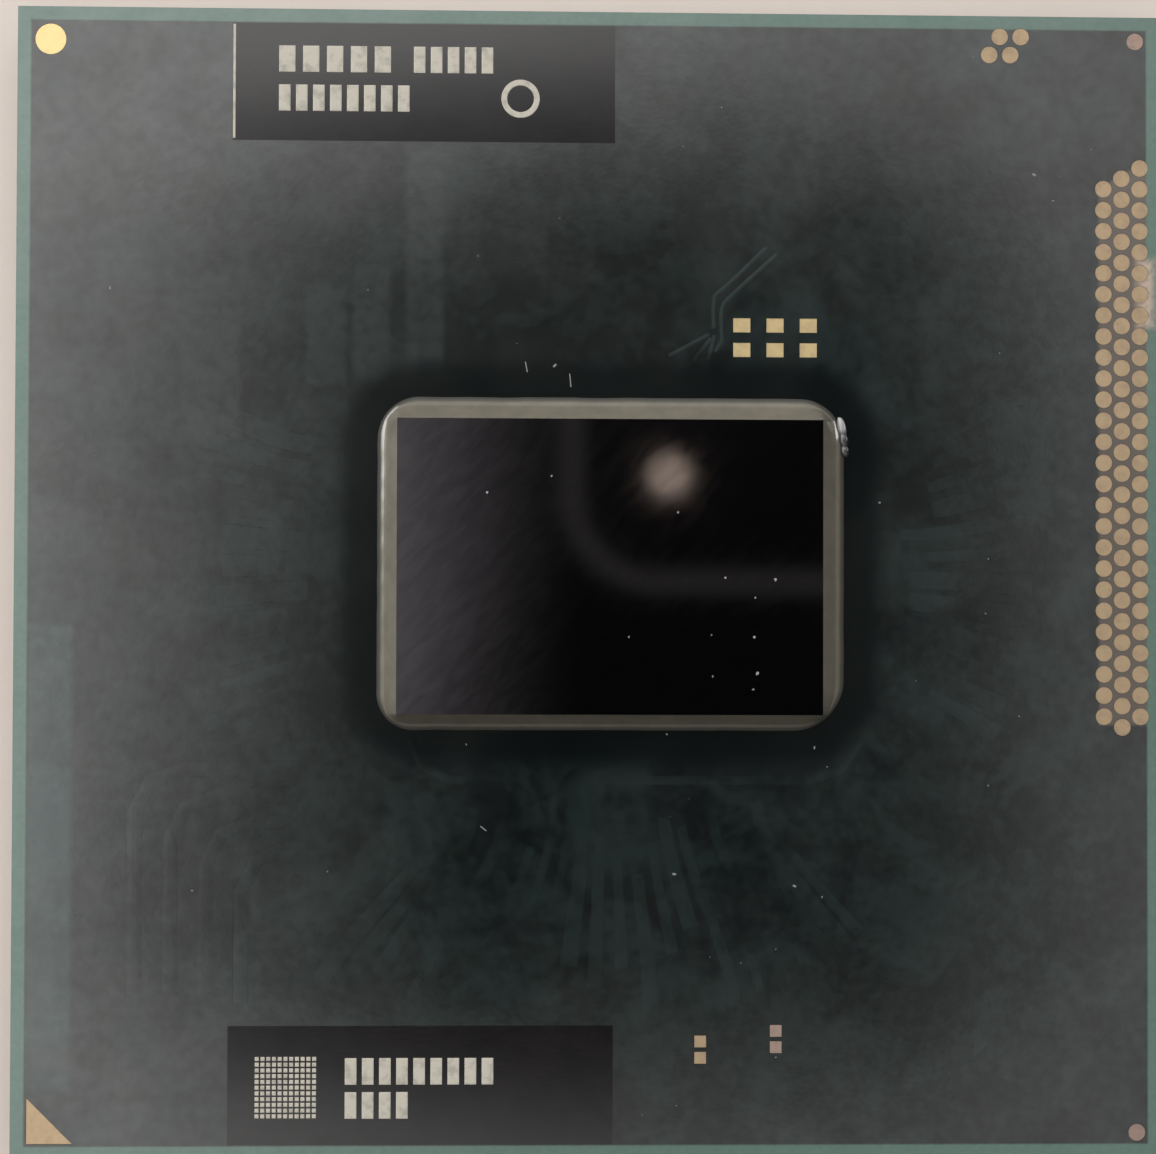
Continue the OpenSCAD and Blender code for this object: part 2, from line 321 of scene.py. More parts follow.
def laminate():
    """Cut edge with its layers, and the masked underside."""
    resin, cloth, glass_ends = (0.075, 0.115, 0.075), (0.20, 0.20, 0.12), (0.30, 0.31, 0.22)
    outer_film = (0.030, 0.062, 0.048)
    under_dark, under_light = (0.014, 0.034, 0.027), (0.028, 0.062, 0.050)
    layer_share = 0.06
    skin = Surface("laminate")
    _, _, z = skin.split(skin.place)
    height = skin.math("DIVIDE", skin.minus(z, BOARD_LOW.z), BOARD_HIGH.z - BOARD_LOW.z)
    wobble = skin.times(skin.noise(1.6, detail=3.0), 0.05)
    layers = skin.math("PINGPONG", skin.plus(height, wobble), layer_share)
    cut = skin.mix(skin.ramp(layers, 0.035, 0.055), resin, cloth)
    fibres = skin.noise(1.0, detail=3.0, place=skin.vector("MULTIPLY", skin.place, (6.0, 6.0, 22.0)))
    cut = skin.mix(skin.ramp(fibres, 0.45, 0.75, 0.0, 0.5), cut, glass_ends)
    outer = skin.math("MAXIMUM", skin.ramp(height, 0.10, 0.06), skin.ramp(height, 0.94, 0.97))
    cut = skin.mix(outer, cut, outer_film)
    blotch = skin.noise(0.6, detail=5.0, roughness=0.6, distortion=0.5)
    under = skin.mix(skin.ramp(blotch, 0.36, 0.66), under_dark, under_light)
    below = skin.ramp(height, 0.004, 0.001)
    rough = skin.ramp(below, 0.0, 1.0, 0.62, 0.34)
    skin.set(skin.mix(below, cut, under), rough, {"Specular IOR Level": 0.5})
    skin.bump(skin.noise(14.0, detail=3.0), 0.01, 0.6)
    return skin.material


# Specks of dust on the die: place on the board and strength
DIE_SPECKS = [(-3.41, 2.89, 0.6), (-1.31, 3.44, 0.5), (2.79, 2.26, 0.4), (4.33, 0.16, 0.5),
              (5.97, 0.10, 1.0), (5.31, -0.49, 0.4), (1.21, -1.77, 0.3), (3.90, -1.70, 0.25),
              (5.28, -1.77, 0.7), (5.38, -2.95, 0.9), (3.93, -3.05, 0.3), (5.25, -3.48, 0.35)]
# Radius of the strongest speck, and how far noise moves the outlines
SPECK_R = 0.048
SPECK_WANDER = 0.09
# Strength of the wiped film on the die's left, and where it starts and is full, from the die's left side
HAZE = 0.050
HAZE_START = 6.2
HAZE_FULL = -1.0


def die_dust(skin):
    """Strength of the dust on the die: specks with uneven outlines."""
    wander = skin.add("TexNoise", {"Vector": skin.place, "Scale": 9.0}).outputs["Color"]
    place = skin.vector("ADD", skin.place, skin.vector("SCALE", wander, scale=SPECK_WANDER))
    # The noise lies round one half
    shift = SPECK_WANDER / 2
    strongest = 0.0
    for x, y, strength in DIE_SPECKS:
        radius = SPECK_R * (1 + strength) / 2
        speck = (x + shift, y + shift, DIE_HIGH.z + shift)
        spot = skin.ramp(skin.vector("DISTANCE", place, speck), radius * 1.25, radius * 0.7, 0.0, strength)
        strongest = skin.math("MAXIMUM", strongest, spot)
    return strongest


def silicon():
    """Polished back of the die: a dark mirror with a wiped film on its left and dust."""
    mirror_dark, mirror_light, dust_grey = (0.36, 0.335, 0.37), (0.41, 0.385, 0.415), (0.19, 0.19, 0.20)
    skin = Surface("silicon")
    x, y, _ = skin.split(skin.place)
    wiped = skin.join(skin.times(skin.plus(x, y), 0.3), skin.minus(x, y))
    streak = skin.noise(2.0, detail=4.0, roughness=0.6, distortion=0.4, place=wiped)
    left = skin.ramp(x, DIE_LOW.x + HAZE_START, DIE_LOW.x + HAZE_FULL)
    haze = skin.times(skin.times(left, skin.ramp(streak, 0.25, 0.75, 0.7, 1.15)), HAZE)
    specks = die_dust(skin)
    rough = skin.plus(skin.vary(streak, 0.030, 0.045), skin.times(specks, 0.6))
    skin.set(skin.mix(specks, skin.mix(streak, mirror_dark, mirror_light), dust_grey), rough,
             {"Metallic": skin.minus(1.0, skin.math("MAXIMUM", specks, haze))})
    return skin.material


def underfill_resin():
    """Beige filled epoxy with fine filler grain and a soft gloss, darker where it thins out on the mask."""
    beige_dark, beige_light, grain_pale = (0.117, 0.108, 0.086), (0.140, 0.128, 0.102), (0.19, 0.175, 0.142)
    thin_dark = (0.030, 0.030, 0.026)
    skin = Surface("underfill_resin")
    height = skin.minus(skin.split(skin.place)[2], MASK_TOP)
    cloud = skin.noise(1.3, detail=4.0, roughness=0.6)
    filler = skin.noise(28.0)
    base = skin.mix(skin.vary(cloud), beige_dark, beige_light)
    base = skin.mix(skin.ramp(filler, 0.55, 0.8, 0.0, 0.12), base, grain_pale)
    base = skin.mix(skin.ramp(height, 0.0, 0.10), thin_dark, base)
    gloss = skin.ramp(height, 0.02, 0.06, 0.08, 0.68)
    skin.set(base, skin.vary(cloud, 0.12, 0.16), {"Specular IOR Level": gloss})
    skin.bump(filler, 0.001, 0.5)
    return skin.material


def resin_drop():
    """Clear drip of resin beside the bead, dark, with a painted reflection as a pale colour at its upper
    end.
    """
    clear_dark, clear_light, sheen_colour = (0.010, 0.009, 0.010), (0.028, 0.026, 0.028), (0.26, 0.25, 0.26)
    sheen_from, sheen_to = 4.85, 5.10
    skin = Surface("resin_drop")
    cloud = skin.noise(6.0, detail=3.0)
    # Painted reflection: the upper end is pale where the drip mirrors the bright ceiling
    painted_sheen = skin.ramp(skin.split(skin.place)[1], sheen_from, sheen_to)
    skin.set(skin.mix(painted_sheen, skin.mix(cloud, clear_dark, clear_light), sheen_colour), skin.vary(cloud, 0.06, 0.12),
             {"Specular IOR Level": 0.8})
    return skin.material


def gold(name, tint, low_rough, high_rough, dulled):
    """Plated gold; dulled is the colour of its stains."""
    skin = Surface(name)
    stain = skin.noise(3.2, detail=4.0, roughness=0.65)
    grain = skin.noise(34.0, detail=3.0)
    rough = skin.plus(skin.vary(stain, low_rough, high_rough), skin.times(grain, 0.06))
    skin.set(skin.mix(skin.ramp(stain, 0.42, 0.78), tint, dulled), rough, {"Metallic": 1.0})
    skin.bump(grain, 0.004, 0.5)
    return skin.material


def tin():
    """Dull grey solder with a crystalline bloom."""
    skin = Surface("solder")
    bloom = skin.add("TexVoronoi", {"Vector": skin.place, "Scale": 9.0}).outputs["Distance"]
    cloud = skin.noise(5.0, detail=3.0)
    base = skin.mix(bloom, (0.50, 0.50, 0.50), (0.68, 0.68, 0.67))
    skin.set(base, skin.vary(cloud, 0.30, 0.46), {"Metallic": 1.0})
    skin.bump(bloom, 0.006, 0.6)
    return skin.material


def black_ink():
    """Black marking ink, a little uneven, glossier towards the board's edge."""
    dull_at, glossy_at = 14.0, 18.4
    skin = Surface("black_ink")
    _, y, _ = skin.split(skin.place)
    gloss = skin.ramp(skin.math("ABSOLUTE", y), dull_at, glossy_at, 0.36, 0.66)
    cloud = skin.noise(0.9, detail=4.0, roughness=0.6)
    weave = skin.noise(1.2, place=skin.vector("MULTIPLY", skin.place, (1.0, 14.0, 1.0)))
    base = skin.mix(skin.vary(cloud), (0.0045, 0.0039, 0.0044), (0.0070, 0.0061, 0.0067))
    skin.set(base, skin.vary(weave, 0.07, 0.10), {"Specular IOR Level": gloss})
    skin.bump(skin.noise(12.0, detail=3.0), 0.0002)
    return skin.material


def white_print():
    """Grey-white marking, thin in places."""
    skin = Surface("white_print")
    worn = skin.noise(3.0, detail=4.0, roughness=0.65)
    skin.set(skin.mix(skin.ramp(worn, 0.30, 0.55), (0.25, 0.235, 0.20), (0.37, 0.345, 0.295)), 0.55)
    skin.bump(worn, 0.004)
    return skin.material


def capacitor():
    """Brown ceramic between two tinned ends, told apart by the place along the capacitor."""
    end_share, end_soft = 0.225, 0.003
    skin = Surface("ceramic_capacitor")
    along = skin.split(skin.add("TexCoord").outputs["Generated"])[0]
    from_end = skin.math("PINGPONG", along, 0.5)
    wander = skin.times(skin.noise(7.0), 0.01)
    metal = skin.ramp(skin.plus(from_end, wander), end_share + end_soft, end_share - end_soft)
    cloud = skin.noise(4.0, detail=4.0, roughness=0.6)
    ceramic = skin.mix(cloud, (0.19, 0.115, 0.065), (0.28, 0.18, 0.105))
    ends = skin.mix(cloud, (0.52, 0.52, 0.51), (0.70, 0.70, 0.69))
    skin.set(skin.mix(metal, ceramic, ends), skin.ramp(metal, 0.0, 1.0, 0.55, 0.34), {"Metallic": metal})
    skin.bump(skin.noise(16.0, detail=3.0), 0.006, 0.6)
    return skin.material


def dust():
    """Pale grey dust and lint."""
    skin = Surface("dust")
    cloud = skin.noise(12.0)
    skin.set(skin.mix(cloud, (0.10, 0.105, 0.105), (0.25, 0.25, 0.24)), 0.7)
    return skin.material


def floor_paper():
    """Pale warm paper."""
    skin = Surface("floor_paper")
    fibre = skin.noise(0.8, detail=5.0, roughness=0.6)
    skin.set(skin.mix(fibre, (0.480, 0.426, 0.389), (0.513, 0.459, 0.422)), 0.8)
    return skin.material


# Pieces in mesh code

# Corners of a square, counter-clockwise from the lower left
CORNERS = [(-1, -1), (1, -1), (1, 1), (-1, 1)]
# Edges sharper than this stay sharp on smooth pieces
SHARP_ANGLE = math.radians(50)


def mesh_object(name, shape, material):
    """Turns a shape in millimetres into an object of the scene."""
    mesh = bpy.data.meshes.new(name)
    shape.to_mesh(mesh)
    shape.free()
    mesh.transform(Matrix.Scale(MM, 4))
    mesh.materials.append(material)
    made = bpy.data.objects.new(name, mesh)
    bpy.context.scene.collection.objects.link(made)
    return made


def make_piece(name, shape, material, smooth=True):
    """Turns a shape into a piece of the part and on its body."""
    bmesh.ops.recalc_face_normals(shape, faces=shape.faces)
    piece = mesh_object(name, shape, material)
    if smooth:
        mesh = piece.data
        mesh.polygons.foreach_set("use_smooth", [True] * len(mesh.polygons))
        mesh.set_sharp_from_angle(angle=SHARP_ANGLE)
    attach(piece, "root")
    return piece


def bridge(shape, rows, closed):
    """Faces between neighbouring rows of vertices; closed joins the last row to the first."""
    count = len(rows) if closed else len(rows) - 1
    for index in range(count):
        low, high = rows[index], rows[(index + 1) % len(rows)]
        for step in range(len(low)):
            after = (step + 1) % len(low)
            shape.faces.new((low[step], low[after], high[after], high[step]))


def bridge_with_ends(shape, rows):
    """Faces between neighbouring rows, closed by a face at either end."""
    bridge(shape, rows, closed=False)
    shape.faces.new(rows[0])
    shape.faces.new(rows[-1])


# The underfill bead

# Radii of the foot's corners
BEAD_UPPER_LEFT_R = 1.4
BEAD_LOWER_LEFT_R = 1.2
BEAD_UPPER_RIGHT_R = 1.5
BEAD_LOWER_RIGHT_R = 1.7
# Where the section bends from the steep face to a shoulder and from there to the flat skirt: distance from
# the die and height above the mask, as shares of the bead's width
SHOULDER_BEND = Vector((0.62, 0.196))
SKIRT_BEND = Vector((0.86, 0.046))
# How much the bead's width wavers, and how many waves there are in a millimetre
BEAD_WAVE = 0.04
BEAD_WAVE_SCALE = 0.9
# Drops that run together in the drip: place along it, half length and half width
DRIP_DROPS = [(0.28, 0.30, 0.14), (0.58, 0.22, 0.165), (0.84, 0.17, 0.15)]
DRIP_TOP = Vector((8.15, 5.45))
DRIP_LENGTH = 1.32
# How far the drip leans to the right, and its height as a share of its half width
DRIP_LEAN = 0.19
DRIP_HEIGHT_SHARE = 0.8


def nearest_on_die(point):
    """The point of the die's outline that is nearest to a point outside it."""
    return Vector((min(max(point.x, DIE_LOW.x), DIE_HIGH.x), min(max(point.y, DIE_LOW.y), DIE_HIGH.y)))


def bead_foot():
    """Points of the bead's rounded foot, counter-clockwise from the right."""
    corner_steps = 20
    side_step = 0.15
    corners = [(BEAD_HIGH.x, BEAD_HIGH.y, BEAD_UPPER_RIGHT_R), (BEAD_LOW.x, BEAD_HIGH.y, BEAD_UPPER_LEFT_R),
               (BEAD_LOW.x, BEAD_LOW.y, BEAD_LOWER_LEFT_R), (BEAD_HIGH.x, BEAD_LOW.y, BEAD_LOWER_RIGHT_R)]
    arcs = []
    for quarter, (x, y, radius) in enumerate(corners):
        # CORNERS starts at the opposite corner, so it gives the way inwards
        middle = Vector((x, y)) + radius * Vector(CORNERS[quarter])
        angles = [math.pi / 2 * (quarter + step / corner_steps) for step in range(corner_steps + 1)]
        arcs.append([middle + radius * Vector((math.cos(angle), math.sin(angle))) for angle in angles])
    foot = []
    for arc, following in zip(arcs, arcs[1:] + arcs[:1]):
        start, end = arc[-1], following[0]
        steps = math.ceil((end - start).length / side_step)
        foot += arc + [start.lerp(end, step / steps) for step in range(1, steps)]
    return foot


def bead_section(width):
    """Section of the bead from the die outwards: pairs of distance from it and height above the mask."""
    curve_steps = 6
    curve_share = 0.18
    crest = Vector((0.0, BEAD_HIGH.z - MASK_TOP))
    line = [crest, SHOULDER_BEND * width, SKIRT_BEND * width, Vector((width, 0.0))]
    section = [Vector((0.0, 0.0)), crest]
    for before, bend, after in zip(line, line[1:], line[2:]):
        start = bend.lerp(before, curve_share)
        end = bend.lerp(after, curve_share)
        section.append(bend.lerp(before, 2 * curve_share))
        for step in range(curve_steps + 1):
            share = step / curve_steps
            section.append(start.lerp(bend, share).lerp(bend.lerp(end, share), share))
    return section + [line[-1]]


def make_underfill():
    """The resin bead round the die, in the form of its solid and with a rounded section."""
    shape = bmesh.new()
    rows = []
    for foot in bead_foot():
        wall = nearest_on_die(foot)
        out = (foot - wall).normalized()
        sway = 1 - BEAD_WAVE * abs(noise.noise(Vector((foot.x, foot.y, 0.0)) * BEAD_WAVE_SCALE))
        width = (foot - wall).length * sway
        row = []
        for away, height in bead_section(width):
            place = wall + out * away
            row.append(shape.verts.new((place.x, place.y, MASK_TOP + height)))
        rows.append(row)
    bridge(shape, rows, closed=True)
    piece = make_piece("underfill_bead", shape, underfill_resin())
    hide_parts("underfill")


def drip_half_width(along):
    """Half width of the drip at a place along it from 0 to 1."""
    least_share = 0.01
    shares = [(width, 1 - ((along - middle) / half) ** 2) for middle, half, width in DRIP_DROPS]
    return max(width * math.sqrt(max(share, least_share)) for width, share in shares)


def make_resin_drop():
    """A drip that follows the bead's foot beside its upper right corner."""
    steps = 48
    sides = 20
    lean_power = 0.65
    shape = bmesh.new()
    rows = []
    for step in range(steps + 1):
        along = step / steps
        middle = DRIP_TOP + Vector((DRIP_LEAN * along ** lean_power, -DRIP_LENGTH * along))
        half_width = drip_half_width(along)
        row = []
        for side in range(sides):
            angle = 2 * math.pi * side / sides
            z = MASK_TOP + max(0.0, DRIP_HEIGHT_SHARE * half_width * math.sin(angle))
            row.append(shape.verts.new((middle.x + half_width * math.cos(angle), middle.y, z)))
        rows.append(row)
    bridge_with_ends(shape, rows)
    make_piece("resin_drop", shape, resin_drop())


# Copper relief under the mask

TRACE_H = 0.0004
TRACE_SEED = 11
# Nodes that the traces keep off, the distance they keep, and how far they stay from the board's edge
KEEP_OFF = ["component_pads", "pad_pair_left", "pad_pair_right", "pad_cluster", "test_pads_inner",
            "upper_ink_panel", "lower_ink_panel"]
PAD_MARGIN = 0.35
EDGE_MARGIN = 1.2


def clear_of_pads(points):
    """Whether a line of points keeps off the pads, the ink panels and the rim."""
    step = 0.2
    boxes = [box_mm(node) for node in KEEP_OFF]
    for start, end in zip(points, points[1:]):
        count = max(1, math.ceil((end - start).length / step))
        for index in range(count + 1):
            point = start.lerp(end, index / count)
            if max(abs(point.x), abs(point.y)) > EDGE - EDGE_MARGIN:
                return False
            for low, high in boxes:
                across = low.x - PAD_MARGIN < point.x < high.x + PAD_MARGIN
                if across and low.y - PAD_MARGIN < point.y < high.y + PAD_MARGIN:
                    return False
    return True


def ribbon(shape, points, width, growth=1.0):
    """A low strip with sloped sides along a line of points on the mask, growing wider towards its end."""
    crown_share = 0.3
    points = [Vector(point) for point in points]
    if not clear_of_pads(points):
        return
    last = len(points) - 1
    rows = []
    for index, point in enumerate(points):
        along = (points[min(index + 1, last)] - points[max(index - 1, 0)]).normalized()
        side = Vector((-along.y, along.x))
        half = width / 2 * (1 + (growth - 1) * index / last)
        crown = half * crown_share
        row = []
        for reach, height in ((half, 0.0), (crown, TRACE_H), (-crown, TRACE_H), (-half, 0.0)):
            place = point + side * reach
            row.append(shape.verts.new((place.x, place.y, MASK_TOP + height)))
        rows.append(row)
    bridge_with_ends(shape, rows)


def smooth_step(share):
    """A smooth rise from 0 to 1."""
    share = min(max(share, 0.0), 1.0)
    return share * share * (3 - 2 * share)


def fan(shape, draw, count, half, start, reach, spread, turn):
    """Streaks that leave one side of the die and draw apart without crossing.

    turn is the angle of that side, counted from the lower one.
    """
    steps = 8
    widening = 0.6
    growth = 1 + widening * spread
    spin = Matrix.Rotation(turn, 2)
    middle = Vector(((DIE_LOW.x + DIE_HIGH.x) / 2, (DIE_LOW.y + DIE_HIGH.y) / 2))
    for index in range(count):
        across = half * (2 * (index + 0.5) / count - 1)
        first = draw.uniform(0.0, 0.35) * reach
        last = draw.uniform(0.55, 1.0) * reach
        path = []
        for step in range(steps + 1):
            out = first + (last - first) * step / steps
            aside = across * (1 + spread * smooth_step(out / reach))
            path.append(middle + spin @ Vector((aside, -start - out)))
        ribbon(shape, path, 2 * half / count * draw.uniform(0.45, 0.85), growth)


# Fine lines that come down to the component pads
FINE_LINES = [[(5.76, 11.04), (4.47, 9.80), (4.03, 9.43), (3.99, 8.93), (4.01, 8.37)],
              [(6.08, 10.81), (5.02, 9.85), (4.34, 9.20), (4.27, 9.00), (4.24, 8.74), (4.28, 7.96),
               (4.06, 7.59)],
              [(3.86, 8.16), (2.54, 7.45)], [(3.92, 8.04), (3.37, 7.32)], [(4.03, 8.14), (3.84, 7.34)]]
FINE_LINE_W = 0.12
# The lower border of the clear zone round the die, and how far that zone reaches
CLEAR_BORDER = [(-5.9, -5.0), (-5.5, -6.0), (-4.6, -6.45), (7.2, -6.45), (8.2, -6.1), (8.8, -5.2)]
CLEAR_BORDER_W = 0.30
CLEAR_ZONE = 2.6
# How much the mask brightens over common copper and over the fine lines
COPPER_LIFT = 0.45
FINE_LIFT = 0.8


def corner_lanes(shape):
    """Lines that turn the lower left corner side by side."""
    lanes = 4
    width = 0.5
    right_end = -9.4
    left_x, pitch_x = -14.8, 1.15
    upper_y, pitch_y = -6.1, 0.85
    lower_end, end_step = -13.4, 0.1
    for lane in range(lanes):
        x = left_x + pitch_x * lane
        y = upper_y - pitch_y * lane
        bend = [(x + 1.6, y), (x + 0.5, y - 0.4), (x, y - 1.4)]
        ribbon(shape, [(right_end, y), *bend, (x, lower_end - end_step * lane)], width)


def make_trace_relief():
    """The copper below the mask: fans of traces on three sides of the die, lanes and a border."""
    draw = random.Random(TRACE_SEED)
    shape = bmesh.new()
    half_w = (DIE_HIGH.x - DIE_LOW.x) / 2
    half_d = (DIE_HIGH.y - DIE_LOW.y) / 2
    beside = {"half": half_d * 0.9, "start": half_w + CLEAR_ZONE, "reach": 4.5}
    below = {"half": half_w * 0.8, "start": half_d + CLEAR_ZONE, "reach": 7.5}
    fan(shape, draw, count=22, spread=0.85, turn=0.0, **below)
    fan(shape, draw, count=11, spread=0.35, turn=-math.pi / 2, **beside)
    fan(shape, draw, count=12, spread=0.45, turn=math.pi / 2, **beside)
    corner_lanes(shape)
    ribbon(shape, CLEAR_BORDER, CLEAR_BORDER_W)
    look = solder_mask("mask_over_copper", COPPER_LIFT)
    make_piece("trace_relief", shape, look, smooth=False)


def make_fine_lines():
    """The traces that show best: the fine lines at the component pads."""
    shape = bmesh.new()
    for line in FINE_LINES:
        ribbon(shape, line, FINE_LINE_W)
    look = solder_mask("mask_over_bright_copper", FINE_LIFT, BRIGHT_COPPER)
    make_piece("fine_lines", shape, look, smooth=False)


# Print marks and dust

PRINT_H = 0.006
PRINT_ROW_H = 0.86
# Pitch of the bars
NARROW = 0.555
WIDE = 0.78


def plate(shape, x, y, width, depth, low, height, turn=0.0):
    """A low plate with bevelled edges, its middle at x, y."""
    bevel_share = 0.12
    spin = Matrix.Rotation(turn, 2)
    inset = min(width, depth) * bevel_share
    rows = []
    for shrink, z in ((0.0, low), (inset, low + height)):
        ring = []
        for side_x, side_y in CORNERS:
            place = spin @ Vector((side_x * (width / 2 - shrink), side_y * (depth / 2 - shrink)))
            ring.append(shape.verts.new((x + place.x, y + place.y, z)))
        rows.append(ring)
    bridge_with_ends(shape, rows)


def print_row(shape, x, y, count, pitch, top):
    """A row of plain upright bars that starts at x."""
    bar_share = 0.68
    for mark in range(count):
        plate(shape, x + (mark + bar_share / 2) * pitch, y, bar_share * pitch, PRINT_ROW_H, top, PRINT_H)


def print_ring(shape, x, y, radius, band, top):
    """A plain ring with bevelled edges."""
    sides = 40
    bevel = 0.02
    inner = radius - band
    rows = []
    for reach, height in ((radius, 0.0), (radius - bevel, PRINT_H), (inner, PRINT_H), (inner - bevel, 0.0)):
        row = []
        for side in range(sides):
            angle = 2 * math.pi * side / sides
            across, along = reach * math.cos(angle), reach * math.sin(angle)
            row.append(shape.verts.new((x + across, y + along, top + height)))
        rows.append(row)
    bridge(shape, rows, closed=True)


def print_block(shape, x, y, side, cells, top):
    """A square block of plain dots, its lower left corner at x, y."""
    dot_share = 0.7
    pitch = side / cells
    dot = dot_share * pitch
    for column in range(cells):
        for row in range(cells):
            plate(shape, x + (column + 0.5) * pitch, y + (row + 0.5) * pitch, dot, dot, top, PRINT_H)


def make_upper_print(look):
    """Two rows of bars, a ring and an edge line on the upper ink panel."""
    low, high = box_mm("upper_ink_panel")
    left, second_group = low.x + 1.5, low.x + 5.9
    first_row, second_row = high.y - 1.17, high.y - 2.45
    ring_x, ring_y = high.x - 3.1, low.y + 1.43
    ring_r, ring_band = 0.63, 0.17
    line_w, line_margin = 0.08, 0.05
    line_l = high.y - low.y - 2 * line_margin
    shape = bmesh.new()
    print_row(shape, left, first_row, 5, WIDE, high.z)
    print_row(shape, second_group, first_row, 5, NARROW, high.z)
    print_row(shape, left, second_row, 8, NARROW, high.z)
    print_ring(shape, ring_x, ring_y, ring_r, ring_band, high.z)
    plate(shape, low.x + line_margin, (low.y + high.y) / 2, line_w, line_l, high.z, PRINT_H)
    make_piece("upper_print", shape, look, smooth=False)


def make_lower_print(look):
    """Two rows of bars and a block of dots on the lower ink panel."""
    low, high = box_mm("lower_ink_panel")
    left = low.x + 3.8
    first_row, second_row = high.y - 1.47, high.y - 2.57
    block_x, block_y = low.x + 0.86, low.y + 0.84
    block_side, block_cells = 2.04, 11
    shape = bmesh.new()
    print_row(shape, left, first_row, 9, NARROW, high.z)
    print_row(shape, left, second_row, 4, NARROW, high.z)
    print_block(shape, block_x, block_y, block_side, block_cells, high.z)
    make_piece("lower_print", shape, look, smooth=False)


def make_print_marks():
    """Plain marks on the two ink panels."""
    look = white_print()
    make_upper_print(look)
    make_lower_print(look)


# Larger specks on the mask, and lint as places with a length and a turn
BOARD_SPECKS = [(-15.7, 9.54), (2.75, -9.51), (6.69, -9.90), (-1.2, 7.1), (9.48, 2.66), (7.34, -5.38),
                (2.5, -4.95), (14.6, 13.5)]
LINT = [(-2.13, 7.05, 0.35, 0.2), (-0.69, 6.62, 0.45, 0.1), (-3.48, -8.03, 0.25, 0.9)]
LINT_W = 0.035
LINT_H = 0.02
FINE_SPECKS = 34
DUST_SEED = 3
# Least and greatest width of the larger and the fine specks, and length as a share of the width
LARGER_W = (0.05, 0.08)
FINE_W = (0.015, 0.035)
LENGTH_SHARE = (0.8, 2.4)


def make_board_dust():
    """Specks and lint on the mask: larger ones at their places, fine ones scattered beside the bead."""
    draw = random.Random(DUST_SEED)
    rim = 1
    reach = EDGE - rim
    margin = 0.3
    height_share = 0.25
    shape = bmesh.new()
    sizes = [(spot, draw.uniform(*LARGER_W)) for spot in BOARD_SPECKS]
    while len(sizes) < len(BOARD_SPECKS) + FINE_SPECKS:
        x, y = draw.uniform(-reach, reach), draw.uniform(-reach, reach)
        beside = not BEAD_LOW.x - margin < x < BEAD_HIGH.x + margin
        if beside or not BEAD_LOW.y - margin < y < BEAD_HIGH.y + margin:
            sizes.append(((x, y), draw.uniform(*FINE_W)))
    for (x, y), size in sizes:
        length = size * draw.uniform(*LENGTH_SHARE)
        plate(shape, x, y, size, length, MASK_TOP, size * height_share, draw.uniform(0, math.pi))
    for x, y, length, turn in LINT:
        plate(shape, x, y, LINT_W, length, MASK_TOP, LINT_H, turn)
    make_piece("board_dust", shape, dust(), smooth=False)


# Finishes of the CAD nodes

DIE_EDGE_R = 0.02
CAPACITOR_EDGE_R = 0.04


def dress(node, material):
    """Gives a CAD node its finish."""
    slots = NODES[node].data.materials
    slots.clear()
    slots.append(material)


def soften(node, radius):
    """Rounds the edges of a CAD node a little."""
    bevel = NODES[node].modifiers.new("edge", "BEVEL")
    bevel.width = radius * MM
    bevel.segments = 2
    bevel.limit_method = "ANGLE"


def dress_nodes():
    """Gives each CAD node that shows its finish, by the start of its name, and rounds some edges."""
    satin = gold("gold_pad", (0.415, 0.326, 0.177), 0.50, 0.62, (0.374, 0.298, 0.187))
    dull = gold("gold_test_pad", (0.347, 0.262, 0.171), 0.50, 0.62, (0.304, 0.233, 0.163))
    corner = gold("gold_corner", (0.42, 0.318, 0.206), 0.50, 0.62, (0.37, 0.28, 0.19))
    bright = gold("gold_fiducial", (0.565, 0.440, 0.220), 0.42, 0.52, (0.515, 0.398, 0.208))
    coppery = gold("gold_stained", (0.296, 0.22, 0.184), 0.48, 0.60, (0.248, 0.184, 0.16))
    pin_gold = gold("gold_pin", (0.90, 0.66, 0.30), 0.20, 0.34, (0.78, 0.56, 0.28))
    grey = tin()
    ink = black_ink()
    looks = {
        "laminate": laminate(), "top_solder_mask": solder_mask(), "silicon_die": silicon(),
        "die_bumps": grey, "fiducial_pad": bright, "first_pin_triangle": corner, "pad_cluster": dull,
        "corner_pad_": coppery, "component_pads": satin, "test_pads_": dull,
        "pad_pair_left": dull, "pad_pair_right": coppery, "upper_ink_panel": ink, "lower_ink_panel": ink,
        "pins_": pin_gold, "pin_solder_": grey, "capacitor_": capacitor()}
    for node in NODES:
        for start, material in looks.items():
            if node.startswith(start):
                dress(node, material)
        if node.startswith("capacitor_"):
            soften(node, CAPACITOR_EDGE_R)
    soften("silicon_die", DIE_EDGE_R)


# Floor, light and camera

# Directions of the light are slopes, sideways over up, with this as the least up
LEAST_UP = 0.05
# The opening for the camera: on each side, where it starts to brighten and where it is fully bright
OPENING_X = {"left": (0.05, -0.16), "right": (0.115, 0.21)}
OPENING_Y = {"lower": (-0.09, -0.165), "upper": (0.10, 0.207)}
OPENING_CORE = 0.005
OPENING_POWER = 3.2
# A small round lamp, full up to a share of its reach
LAMP_SLOPE = (0.067, 0.0595)
LAMP_REACH = 0.0097
LAMP_FULL_SHARE = 0.45
LAMP_COLOUR = (1.0, 0.83, 0.64)
LAMP_LEVEL = 0.56
# A faint square band of light with rounded corners round the lamp
BAND_MIDDLE = (0.1346, 0.1238)
BAND_HALF = 0.1
BAND_CORNER = 0.029
BAND_W = 0.0075
BAND_LEVEL = 0.036
# The side to which the ceiling and the walls are bright, and their least and greatest brightness
CEILING_SIDE = (-0.85, 0.53)
CEILING = (0.78, 2.35)
WALL_SIDE = (-0.50, 0.866)
WALL_START = -0.2
WALL = (0.65, 4.6)
